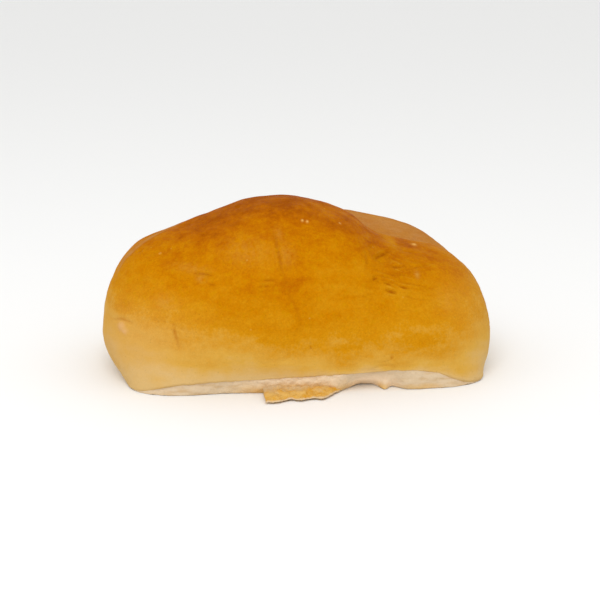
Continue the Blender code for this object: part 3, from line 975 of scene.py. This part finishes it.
def sheet_mesh(name, upper, lower, forward):
    """A closed mesh from an upper and a lower grid, with the rims joined by a strip of faces."""
    rows, columns = upper.shape[:2]
    under = rows * columns
    index = np.arange(under).reshape(rows, columns)
    top = np.stack([index[:-1, :-1], index[1:, :-1], index[1:, 1:], index[:-1, 1:]], axis=-1)
    bottom = top[..., ::-1] + under
    rim = np.concatenate([index[0, :-1], index[:-1, -1], index[-1, :0:-1], index[:0:-1, 0]])
    beside = np.roll(rim, -1)
    strip = np.stack([rim, beside, beside + under, rim + under], axis=-1)
    points = np.concatenate([upper.reshape(-1, 3), lower.reshape(-1, 3)])
    faces = np.concatenate([top.reshape(-1, 4), bottom.reshape(-1, 4), strip])
    return finished_mesh(name, points, faces.tolist(), {"forward": np.tile(forward.ravel(), 2)})


class Shader:
    """A material's node tree with short calls to add nodes and join them."""

    def __init__(self, name):
        self.material = bpy.data.materials.new(name)
        self.material.use_nodes = True
        self.tree = self.material.node_tree
        self.surface = self.tree.nodes["Principled BSDF"]
        self.place = self.tree.nodes.new("ShaderNodeTexCoord").outputs["Object"]

    def node(self, kind, settings=None, inputs=None):
        """A new node with its settings, and its inputs as values or other nodes' outputs."""
        made = self.tree.nodes.new("ShaderNode" + kind)
        for key, value in (settings or {}).items():
            setattr(made, key, value)
        for key, value in (inputs or {}).items():
            self.put(made.inputs[key], value)
        return made

    def put(self, socket, value):
        """A link into a socket, or its own value."""
        if isinstance(value, bpy.types.NodeSocket):
            self.tree.links.new(value, socket)
        elif hasattr(value, "__len__") and socket.type == "RGBA":
            socket.default_value = (*value, 1.0)
        else:
            socket.default_value = value

    def attribute(self, name):
        """The value of a float attribute of the piece."""
        return self.node("Attribute", {"attribute_name": name}).outputs["Fac"]

    def noise(self, size, detail, roughness=0.55, scale=None):
        """Noise from 0 to 1 whose lumps are about that many metres wide, or drawn out by a scale
        along each axis."""
        place = self.place
        if scale:
            place = self.node("Mapping", inputs={"Vector": place, "Scale": scale}).outputs["Vector"]
        inputs = {"Vector": place, "Scale": 1.0 / size, "Detail": detail, "Roughness": roughness}
        return self.node("TexNoise", inputs=inputs).outputs["Fac"]

    def cells(self, size):
        """Distance to the nearest of scattered points about that many metres apart."""
        inputs = {"Vector": self.place, "Scale": 1.0 / size}
        return self.node("TexVoronoi", inputs=inputs).outputs["Distance"]

    def span(self, value, low, high, to_low=0.0, to_high=1.0):
        """A value's range mapped to another, clamped and smoothed."""
        inputs = {"Value": value, "From Min": low, "From Max": high, "To Min": to_low, "To Max": to_high}
        return self.node("MapRange", {"interpolation_type": "SMOOTHSTEP"}, inputs).outputs["Result"]

    def math(self, operation, a, b, clamp=False):
        """Arithmetic on two values."""
        return self.node("Math", {"operation": operation, "use_clamp": clamp}, {0: a, 1: b}).outputs[0]

    def times(self, a, b):
        """The product of two values."""
        return self.math("MULTIPLY", a, b)

    def swayed(self, value, noise, amount, clamp=False):
        """A value plus (noise - 0.5) times an amount."""
        return self.math("ADD", value, self.times(self.math("SUBTRACT", noise, 0.5), amount), clamp)

    def mix(self, factor, a, b, blend="MIX"):
        """Two colours mixed."""
        settings = {"data_type": "RGBA", "blend_type": blend}
        return self.node("Mix", settings, {0: factor, 6: a, 7: b}).outputs[2]

    def shaded(self, shade, amount):
        """A colour times an amount."""
        grey = self.node("CombineColor", inputs={0: amount, 1: amount, 2: amount}).outputs[0]
        return self.mix(1.0, shade, grey, "MULTIPLY")

    def colours(self, value, stops):
        """A colour ramp through (position, colour) stops."""
        made = self.node("ValToRGB", inputs={"Fac": value})
        elements = made.color_ramp.elements
        for position, shade in stops[1:-1]:
            elements.new(position).color = (*shade, 1.0)
        elements[0].position, elements[0].color = stops[0][0], (*stops[0][1], 1.0)
        elements[-1].position, elements[-1].color = stops[-1][0], (*stops[-1][1], 1.0)
        return made.outputs["Color"]

    def bump(self, height, distance, strength, **under):
        """A bump whose height of 1 stands for that many metres, over another one's Normal if given."""
        inputs = {"Height": height, "Distance": distance, "Strength": strength, **under}
        return self.node("Bump", inputs=inputs).outputs["Normal"]

    def finish(self, colour, roughness, specular, **others):
        """The material, with its surface's inputs as values or other nodes' outputs."""
        inputs = {"Base Color": colour, "Roughness": roughness, "Specular IOR Level": specular, **others}
        for key, value in inputs.items():
            self.put(self.surface.inputs[key], value)
        return self.material


def crust_material(colours):
    """Baked crust: coloured by its attributes, freckled, with painted shade in its creases and fine pores,
    painted highlight on its ridges, a painted sheen in pebbled patches, and hardly any shine of its own.
    """
    s = Shader("golden_crust")
    browned = s.attribute("bake")
    broad = s.noise(0.0050, 4.0)
    fine = s.noise(0.0011, 5.0, 0.65)
    streaks = s.noise(0.0028, 5.0, 0.62, (0.65, 0.75, 1.1))
    mottle = s.noise(0.0034, 5.0, 0.62, (0.7, 0.8, 1.2))
    uneven = s.span(browned, 0.15, 0.55, 0.08, 0.32)
    crown = s.span(browned, 0.55, 0.80, 0.0, 0.55)
    bake = s.swayed(s.swayed(browned, broad, 0.16), streaks, uneven)
    bake = s.swayed(bake, fine, uneven, clamp=True)
    bake = s.swayed(bake, mottle, crown, clamp=True)
    stops = [(0.0, colours.pale), (0.20, colours.sand), (0.42, colours.golden), (0.62, colours.amber),
             (0.82, colours.brown), (1.0, colours.dark)]
    skin = s.mix(s.attribute("wan"), s.colours(bake, stops), colours.wan)
    # Painted shade in the creases and painted highlight on the ridges, from the fold shading.
    fold_and_shading = s.attribute("fold_and_shading")
    skin = s.mix(s.span(fold_and_shading, 0.0, -0.9, 0.0, 0.85), skin, colours.furrow)
    skin = s.mix(s.span(fold_and_shading, 0.08, 0.55, 0.0, 0.60), skin, colours.ridge)
    freckle = s.times(s.span(browned, 0.30, 0.55, 0.0, 0.60), s.span(browned, 0.66, 0.80, 1.0, 0.25))
    freckle = s.times(s.span(s.noise(0.0017, 5.0, 0.65), 0.50, 0.70), freckle)
    skin = s.mix(freckle, skin, colours.olive)
    # Rusty freckles, in the dark colour also used for the creases' painted shade.
    rust = s.span(s.noise(0.0012, 5.0, 0.65), 0.56, 0.74, 0.0, 0.5)
    skin = s.mix(s.times(rust, s.span(browned, 0.35, 0.75)), skin, colours.furrow)
    # Pebbled patches, partly dull crust and partly a painted sheen.
    skin = s.mix(s.attribute("dust_and_sheen"), skin, colours.dust_and_sheen_colour)
    striped = s.noise(0.0016, 4.0, 0.6, (0.25, 1.0, 1.0))
    pink = s.mix(s.span(striped, 0.38, 0.62), colours.blush_dark, colours.blush)
    skin = s.mix(s.times(s.attribute("blush"), s.span(striped, 0.25, 0.75, 0.75, 1.0)), skin, pink)
    # Painted shade in the crust's fine pores: small dark dots with no relief.
    pore_shade = s.span(s.cells(0.0016), 0.05, 0.14, 0.84, 1.0)
    speckle = s.swayed(0.985, s.noise(0.0005, 4.0, 0.7), s.span(browned, 0.15, 0.45, 0.18, 0.50))
    skin = s.shaded(skin, s.times(pore_shade, speckle))
    skin = s.mix(s.span(s.cells(0.0062), 0.035, 0.060, 0.35, 0.0), skin, colours.sand)
    # Pale spots, partly the blister's colour and partly the groove edge's painted highlight, then the pale
    # grains.
    for mark, shade in (("pale_spot_and_highlight", colours.spot), ("grain", colours.grain)):
        skin = s.mix(s.times(s.attribute(mark), 0.9), skin, shade)
    pebbled = s.math("ADD", s.times(fine, 0.7), s.times(s.noise(0.00045, 3.0, 0.6), 0.3))
    leathery = s.noise(0.0013, 3.0, 0.5, (0.4, 0.5, 1.4))
    normal = s.bump(leathery, 0.00014, 0.6, Normal=s.bump(pebbled, 0.00012, 0.6))
    return s.finish(skin, s.span(broad, 0.3, 0.7, 0.45, 0.62), 0.01, IOR=1.45, Normal=normal)


def crumb_material(colours):
    """Torn crumb, pale and matt, with painted shade in its holes, painted light where the notch and the
    tab's root shade it, or a browner skin where its attributes say so.
    """
    s = Shader("torn_crumb")
    fine = s.noise(0.0010, 5.0, 0.7)
    patches = s.span(s.noise(0.0026, 5.0, 0.6, (0.4, 0.6, 1.6)), 0.44, 0.70)
    soft = s.mix(patches, colours.crumb, colours.crumb_shade)
    # Painted light brightens the crumb where the notch and the tab's root shade it.
    soft = s.mix(s.attribute("painted_light"), soft, colours.crumb_lit)
    # The crumb's holes: pressed in by the bump and darkened by painted shade.
    holes_and_shade = s.span(s.cells(0.0011), 0.10, 0.35, 0.94, 1.0)
    brown = s.mix(s.span(s.noise(0.0070, 4.0, 0.6), 0.40, 0.65), colours.base_crust, colours.base_brown)
    skin = s.mix(s.attribute("crusty"), s.shaded(soft, holes_and_shade), brown)
    normal = s.bump(s.math("ADD", fine, holes_and_shade), 0.00030, 0.7)
    return s.finish(skin, s.span(fine, 0.3, 0.7, 0.80, 0.95), 0.15, Normal=normal)


def tab_material(colours):
    """Base crust torn loose: golden brown, paler and greyer at its root."""
    s = Shader("base_crust")
    fine = s.noise(0.0009, 5.0, 0.7)
    patches = s.span(s.noise(0.0032, 4.0, 0.6), 0.40, 0.66)
    brown = s.mix(patches, colours.base_crust, colours.base_brown)
    forward = s.attribute("forward")
    worn = s.math("ADD", forward, s.times(patches, 0.10))
    skin = s.mix(s.span(s.math("ADD", worn, s.times(fine, 0.25)), 0.58, 1.00), colours.crumb_shade, brown)
    rim = s.span(s.math("ADD", forward, s.times(fine, 0.06)), 0.985, 1.02, 0.0, 0.75)
    skin = s.mix(rim, skin, colours.crumb)
    normal = s.bump(fine, 0.00035, 0.8)
    return s.finish(skin, s.span(fine, 0.3, 0.7, 0.45, 0.75), 0.30, Normal=normal)


def make_stage(settings):
    """A wide pale floor, even light from all round, one soft key light and the camera."""
    stage = settings.stage
    scene = bpy.context.scene
    scene.view_settings.view_transform = "Standard"
    corners = [(x * FLOOR_REACH, y * FLOOR_REACH, 0.0) for x, y in ((-1, -1), (1, -1), (1, 1), (-1, 1))]
    mesh = bpy.data.meshes.new("floor")
    mesh.from_pydata(corners, [], [(0, 1, 2, 3)])
    mesh.materials.append(Shader("pale_floor").finish(stage.floor, 0.9, 0.1))
    floor = bpy.data.objects.new("floor", mesh)
    floor.location.z = -FLOOR_DROP
    scene.collection.objects.link(floor)
    world = scene.world or bpy.data.worlds.new("even_light")
    scene.world = world
    world.use_nodes = True
    sky = world.node_tree.nodes["Background"]
    sky.inputs["Color"].default_value = (1.0, 1.0, 1.0, 1.0)
    sky.inputs["Strength"].default_value = stage.sky_strength
    aim = Vector(stage.aim)
    key = bpy.data.lights.new("key", "AREA")
    key.size = KEY_SIZE
    key.energy = stage.key_power
    lamp = bpy.data.objects.new("key", key)
    lamp.location = aim + Vector(KEY_PLACE)
    lamp.rotation_euler = (aim - lamp.location).to_track_quat("-Z", "Y").to_euler()
    scene.collection.objects.link(lamp)
    lens = bpy.data.cameras.new("camera")
    lens.lens = stage.lens
    lens.sensor_width = SENSOR_WIDTH
    camera = bpy.data.objects.new("camera", lens)
    back = Vector((
        math.sin(stage.azimuth) * math.cos(stage.elevation),
        -math.cos(stage.azimuth) * math.cos(stage.elevation),
        math.sin(stage.elevation),
    ))
    camera.location = aim + back * stage.distance
    camera.rotation_euler = (-back).to_track_quat("-Z", "Y").to_euler()
    scene.collection.objects.link(camera)
    scene.camera = camera


class BREAD_OT_crust(bpy.types.Operator):
    """Add the browned crust"""

    bl_idname = "bread.add_crust"
    bl_label = "Add Crust"

    def execute(self, context):
        make_crust(context.scene.bread_roll)
        return {"FINISHED"}


class BREAD_OT_crumb(bpy.types.Operator):
    """Add the torn crumb and the base"""

    bl_idname = "bread.add_crumb"
    bl_label = "Add Crumb and Base"

    def execute(self, context):
        make_crumb(context.scene.bread_roll)
        return {"FINISHED"}


class BREAD_OT_tab(bpy.types.Operator):
    """Add the ragged tab of base crust"""

    bl_idname = "bread.add_tab"
    bl_label = "Add Tab"

    def execute(self, context):
        make_tab(context.scene.bread_roll)
        return {"FINISHED"}


class BREAD_OT_stage(bpy.types.Operator):
    """Add the floor, the lights and the camera"""

    bl_idname = "bread.add_stage"
    bl_label = "Add Stage"

    def execute(self, context):
        make_stage(context.scene.bread_roll)
        return {"FINISHED"}


class BREAD_PT_panel(bpy.types.Panel):
    """The roll's settings and its operators"""

    bl_idname = "BREAD_PT_panel"
    bl_label = "Bread Roll"
    bl_space_type = "VIEW_3D"
    bl_region_type = "UI"
    bl_category = "Bread Roll"

    def draw(self, context):
        settings = context.scene.bread_roll
        for group in (settings.shape, settings.colours, settings.stage):
            box = self.layout.box()
            for key in group.bl_rna.properties.keys():
                if key not in ("rna_type", "name"):
                    box.prop(group, key)
        for operator in OPERATORS:
            self.layout.operator(operator.bl_idname)


OPERATORS = (BREAD_OT_crust, BREAD_OT_crumb, BREAD_OT_tab, BREAD_OT_stage)
CLASSES = (RollShape, RollColours, RollStage, RollSettings, *OPERATORS, BREAD_PT_panel)


def register():
    """Registers the classes and the scene's settings."""
    for cls in CLASSES:
        bpy.utils.register_class(cls)
    bpy.types.Scene.bread_roll = PointerProperty(type=RollSettings)


def unregister():
    """Takes the settings and the classes away again."""
    del bpy.types.Scene.bread_roll
    for cls in reversed(CLASSES):
        bpy.utils.unregister_class(cls)


def main():
    """Builds the roll and its stage."""
    register()
    bpy.ops.bread.add_crust()
    bpy.ops.bread.add_crumb()
    bpy.ops.bread.add_tab()
    bpy.ops.bread.add_stage()


if __name__ == "__main__":
    main()
